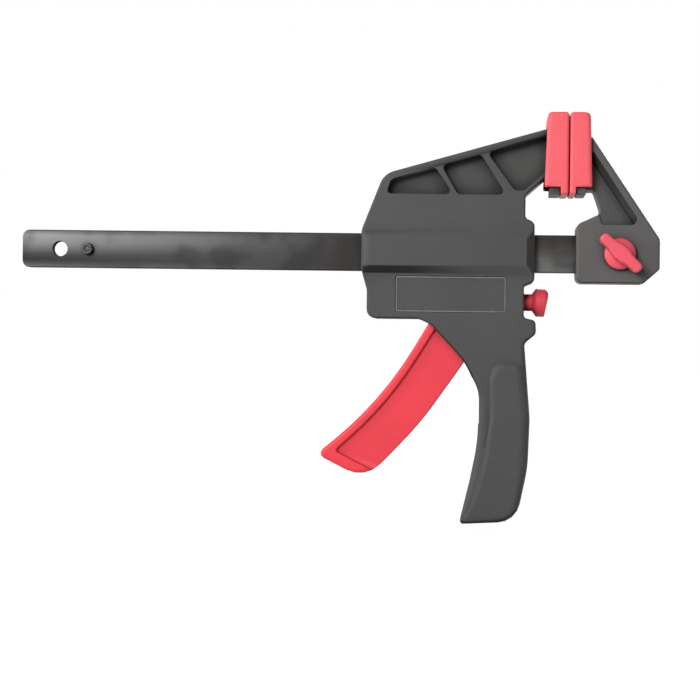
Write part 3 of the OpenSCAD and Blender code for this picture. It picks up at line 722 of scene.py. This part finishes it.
class CLAMP_OT_controls(ClampOperator, bpy.types.Operator):
    """Finish the trigger and the release button, and model the wing knob"""

    bl_idname = "clamp.controls"
    bl_label = "Controls"

    def execute(self, context):
        details = settings("details")
        bm = merged("trigger")
        soften(bm, details.step, 45, 4, self.over_the_web)
        soften(bm, details.rim, 45, 3, self.on_the_rim)
        soften(bm, details.edge, 45, 2, self.inside)
        finish(bm, "trigger_moulding", "trigger_lever", "grained_red", "trigger")
        bm = merged("release_button")
        finish(bm, "button_moulding", "button", "button_plastic", "release_button")
        self.wing_knob(details)
        return {"FINISHED"}

    def over_the_web(self, edge):
        """Head and foot of the low wall between the rim and the web."""
        step = RIM_HALF - WEB_HALF
        heights = [abs(v.co.y) for v in edge.verts]
        if max(heights) - min(heights) > 0.01 * MM:
            return False
        walls = [[abs(v.co.y) for v in face.verts] for face in edge.link_faces]
        return any(0.5 * step < max(wall) - min(wall) < 1.5 * step for wall in walls)

    def on_the_rim(self, edge):
        return min(abs(v.co.y) for v in edge.verts) > RIM_HALF - 0.1 * MM

    def inside(self, edge):
        return max(abs(v.co.y) for v in edge.verts) < WEB_HALF + 0.1 * MM

    def wing_knob(self, details):
        """A domed base with a soft-edged wing across it."""
        bm = bmesh.new()
        verts = [bm.verts.new((r * MM, -h * MM, 0)) for r, h in KNOB_SECTION]
        edges = [bm.edges.new(pair) for pair in zip(verts, verts[1:])]
        bmesh.ops.spin(
            bm, geom=verts + edges, cent=(0, 0, 0), axis=(0, 1, 0), angle=math.tau, steps=64, use_merge=True
        )
        bmesh.ops.remove_doubles(bm, verts=bm.verts, dist=0.002 * MM)
        wing = bmesh.new()
        outline = WING_SIDE + tuple((-x, -z) for x, z in WING_SIDE)
        face = wing.faces.new([wing.verts.new((x * MM, -1.6 * MM, z * MM)) for x, z in outline])
        top = bmesh.ops.extrude_face_region(wing, geom=[face])
        raised = [v for v in top["geom"] if isinstance(v, bmesh.types.BMVert)]
        bmesh.ops.translate(wing, vec=(0, -10.9 * MM, 0), verts=raised)
        bmesh.ops.recalc_face_normals(wing, faces=wing.faces)
        uprights = [e for e in wing.edges if abs(e.verts[0].co.y - e.verts[1].co.y) > MM]
        ends = [e for e in uprights if abs(middle_of(e).x) > 14 * MM]
        bmesh.ops.bevel(
            wing, geom=ends, offset=2.6 * MM, segments=6, profile=0.5, affect="EDGES", clamp_overlap=True,
            material=-1,
        )
        rim = [e for e in wing.edges if max(v.co.y for v in e.verts) < -12.4 * MM]
        bmesh.ops.bevel(
            wing, geom=rim, offset=details.wing_round, segments=4, profile=0.5, affect="EDGES",
            clamp_overlap=True, material=-1,
        )
        spare = bpy.data.meshes.new("wing")
        wing.to_mesh(spare)
        wing.free()
        bm.from_mesh(spare)
        bpy.data.meshes.remove(spare)
        bmesh.ops.recalc_face_normals(bm, faces=bm.faces)
        place = Matrix.Translation((BOLT_X, -KNOB_FOOT, BAR_Z)) @ Matrix.Rotation(WING_TURN, 4, "Y")
        bmesh.ops.transform(bm, matrix=place, verts=bm.verts)
        finish(bm, "knob_moulding", "knob", "knob_plastic", "wing_knob", math.radians(50))


class CLAMP_OT_works(ClampOperator, bpy.types.Operator):
    """Finish the metal pieces: screws, stud, washer, pins, plates and springs"""

    bl_idname = "clamp.works"
    bl_label = "Metal Pieces"

    def execute(self, context):
        details = settings("details")
        self.screws(details)
        for node, body, name in (
            ("knob_washer", "washer", "washer"),
            ("knob_stud", "knob", "knob_stud_turned"),
        ):
            bm = merged(node)
            soften(bm, details.arris, 60, 2)
            finish(bm, name, body, "dark_pin", node)
        for node in (
            "trigger_pin", "drive_plate_near", "drive_plate_far", "drive_spring_seat", "brake_plate"
        ):
            paint(node, "zinc_plate")
        for node, joint, fixed_end, keep in (
            ("drive_spring", "drive_feed", -111.1 * MM, 0.89),
            ("brake_spring", "brake_release", -43.7 * MM, 0.55),
        ):
            coil = bmesh.new()
            coil.from_mesh(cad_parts[node].data)
            bmesh.ops.remove_doubles(coil, verts=coil.verts, dist=WELD)
            piece = finish(coil, node + "_coil", "sliding_jaw", "spring_wire", node)
            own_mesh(piece)
        return {"FINISHED"}

    def screws(self, details):
        """Tapping screws with a cross recess in each head."""
        bm = merged("shell_screws")
        top = max(v.co.y for v in bm.verts)
        width = details.recess / 2
        arm = 1.9 * MM

        def on_top():
            flat = [f for f in bm.faces if f.normal.y > 0.99]
            return [f for f in flat if f.calc_center_median().y > top - 0.01 * MM]

        for centre in [f.calc_center_median().copy() for f in on_top()]:
            for axis in (Vector((1, 0, 0)), Vector((0, 0, 1))):
                for step in (-arm, -width, width, arm):
                    near = [f for f in on_top() if (f.calc_center_median() - centre).length < 3 * MM]
                    geom = near + list({e for f in near for e in f.edges})
                    geom += list({v for f in near for v in f.verts})
                    bmesh.ops.bisect_plane(
                        bm, geom=geom, plane_co=centre + axis * step, plane_no=axis, dist=0.001 * MM
                    )
            cross = []
            for f in on_top():
                away = f.calc_center_median() - centre
                x, z = abs(away.x), abs(away.z)
                if max(x, z) < arm and min(x, z) < width:
                    cross.append(f)
            sunk = bmesh.ops.extrude_face_region(bm, geom=cross)
            moved = [v for v in sunk["geom"] if isinstance(v, bmesh.types.BMVert)]
            bmesh.ops.delete(bm, geom=cross, context="FACES")
            bmesh.ops.translate(bm, vec=(0, -1.3 * MM, 0), verts=moved)
            for v in moved:
                v.co.x += (centre.x - v.co.x) * 0.35
                v.co.z += (centre.z - v.co.z) * 0.35
        finish(bm, "casing_screws", "sliding_jaw", "zinc_plate", "shell_screws")


class CLAMP_OT_stage(ClampOperator, bpy.types.Operator):
    """Set up the floor, the backdrop, the lamps, the world and the camera"""

    bl_idname = "clamp.stage"
    bl_label = "Stage"

    def execute(self, context):
        scene = context.scene
        stage = settings("stage")
        scene.view_settings.view_transform = "Standard"
        self.world(scene, stage)
        self.floor(cad_box[0].z - 2 * MM)
        for lamp in LAMPS:
            self.lamp(*lamp)
        self.camera(scene, stage)
        return {"FINISHED"}

    def world(self, scene, stage):
        world = bpy.data.worlds.new("studio")
        scene.world = world
        world.use_nodes = True
        tree = world.node_tree
        tree.nodes.clear()
        light = tree.nodes.new("ShaderNodeBackground")
        light.inputs["Color"].default_value = (1, 1, 1, 1)
        light.inputs["Strength"].default_value = stage.ambient
        seen = tree.nodes.new("ShaderNodeBackground")
        seen.inputs["Color"].default_value = (1, 1, 1, 1)
        seen.inputs["Strength"].default_value = 1
        path = tree.nodes.new("ShaderNodeLightPath")
        mix = tree.nodes.new("ShaderNodeMixShader")
        output = tree.nodes.new("ShaderNodeOutputWorld")
        open_view = self.open_view(tree, path)
        tree.links.new(open_view.outputs[0], mix.inputs["Fac"])
        tree.links.new(light.outputs[0], mix.inputs[1])
        tree.links.new(seen.outputs[0], mix.inputs[2])
        tree.links.new(mix.outputs[0], output.inputs["Surface"])

    def open_view(self, tree, path):
        """1 for the rays that show the backdrop: straight from the camera, mirrored or let through."""
        total = path.outputs["Is Camera Ray"]
        for kind in ("Is Glossy Ray", "Is Transmission Ray"):
            most = tree.nodes.new("ShaderNodeMath")
            most.operation = "MAXIMUM"
            tree.links.new(total, most.inputs[0])
            tree.links.new(path.outputs[kind], most.inputs[1])
            total = most.outputs[0]
        return most

    def floor(self, level):
        bm = bmesh.new()
        bmesh.ops.create_grid(bm, x_segments=1, y_segments=1, size=6)
        bmesh.ops.translate(bm, vec=(0, 0, level), verts=bm.verts)
        mesh = bpy.data.meshes.new("floor")
        bm.to_mesh(mesh)
        bm.free()
        floor = bpy.data.objects.new("floor", mesh)
        bpy.context.scene.collection.objects.link(floor)
        material, add, join, shader = new_material("pale_floor")
        shader.inputs["Base Color"].default_value = (0.4, 0.4, 0.4, 1)
        shader.inputs["Roughness"].default_value = 0.9
        glow = add("Emission", Strength=1.1)
        place = add("TexCoord")
        away = add("VectorMath", operation="LENGTH")
        join(place, "Object", away, 0)
        fade = add("MapRange", From_Min=0.3, From_Max=0.7, To_Min=0.88, To_Max=1)
        join(away, "Value", fade, "Value")
        part = add("Math", operation="MULTIPLY")
        join(fade, "Result", part, 0)
        path = add("LightPath")
        material.node_tree.links.new(self.open_view(material.node_tree, path).outputs[0], part.inputs[1])
        mix = add("MixShader")
        join(part, "Value", mix, "Fac")
        join(shader, "BSDF", mix, 1)
        join(glow, "Emission", mix, 2)
        output = [n for n in material.node_tree.nodes if n.type == "OUTPUT_MATERIAL"][0]
        join(mix, "Shader", output, "Surface")
        mesh.materials.append(material)

    def lamp(self, name, place, target, size, power):
        data = bpy.data.lights.new(name, "AREA")
        data.shape = "DISK"
        data.size = size
        data.energy = power
        lamp = bpy.data.objects.new(name, data)
        bpy.context.scene.collection.objects.link(lamp)
        way = Vector(target) - Vector(place)
        lamp.matrix_world = Matrix.Translation(place) @ way.to_track_quat("-Z", "Y").to_matrix().to_4x4()

    def camera(self, scene, stage):
        data = bpy.data.cameras.new("camera")
        data.lens = stage.lens
        data.sensor_width = 36
        data.shift_x = stage.shift
        camera = bpy.data.objects.new("camera", data)
        scene.collection.objects.link(camera)
        turn = Matrix.Rotation(stage.yaw, 4, "Z") @ Matrix.Rotation(math.radians(90) + stage.pitch, 4, "X")
        camera.matrix_world = (
            Matrix.Translation((stage.foot_x, -stage.distance, stage.foot_z))
            @ turn
            @ Matrix.Rotation(stage.roll, 4, "Z")
        )
        scene.camera = camera


class CLAMP_PT_panel(bpy.types.Panel):
    """Lists the steps that dress the clamp"""

    bl_idname = "CLAMP_PT_panel"
    bl_label = "Bar Clamp"
    bl_space_type = "VIEW_3D"
    bl_region_type = "UI"
    bl_category = "Clamp"

    def draw(self, context):
        for group in ("clamp_colours", "clamp_finish", "clamp_details", "clamp_stage"):
            box = self.layout.box()
            values = getattr(context.scene, group)
            for key in values.__annotations__:
                box.prop(values, key)
        for operator in OPERATORS:
            self.layout.operator(operator.bl_idname)


GROUPS = {
    "clamp_colours": ClampColours,
    "clamp_finish": ClampFinish,
    "clamp_details": ClampDetails,
    "clamp_stage": ClampStage,
}
OPERATORS = (
    CLAMP_OT_materials,
    CLAMP_OT_casing,
    CLAMP_OT_jaw,
    CLAMP_OT_pads,
    CLAMP_OT_bar,
    CLAMP_OT_controls,
    CLAMP_OT_works,
    CLAMP_OT_stage,
)


def register():
    for name, group in GROUPS.items():
        bpy.utils.register_class(group)
        setattr(bpy.types.Scene, name, PointerProperty(type=group))
    for thing in (*OPERATORS, CLAMP_PT_panel):
        bpy.utils.register_class(thing)


def unregister():
    for thing in (CLAMP_PT_panel, *reversed(OPERATORS)):
        bpy.utils.unregister_class(thing)
    for name, group in GROUPS.items():
        delattr(bpy.types.Scene, name)
        bpy.utils.unregister_class(group)


def main():
    register()
    for operator in OPERATORS:
        group, name = operator.bl_idname.split(".")
        getattr(getattr(bpy.ops, group), name)()


if __name__ == "__main__":
    main()
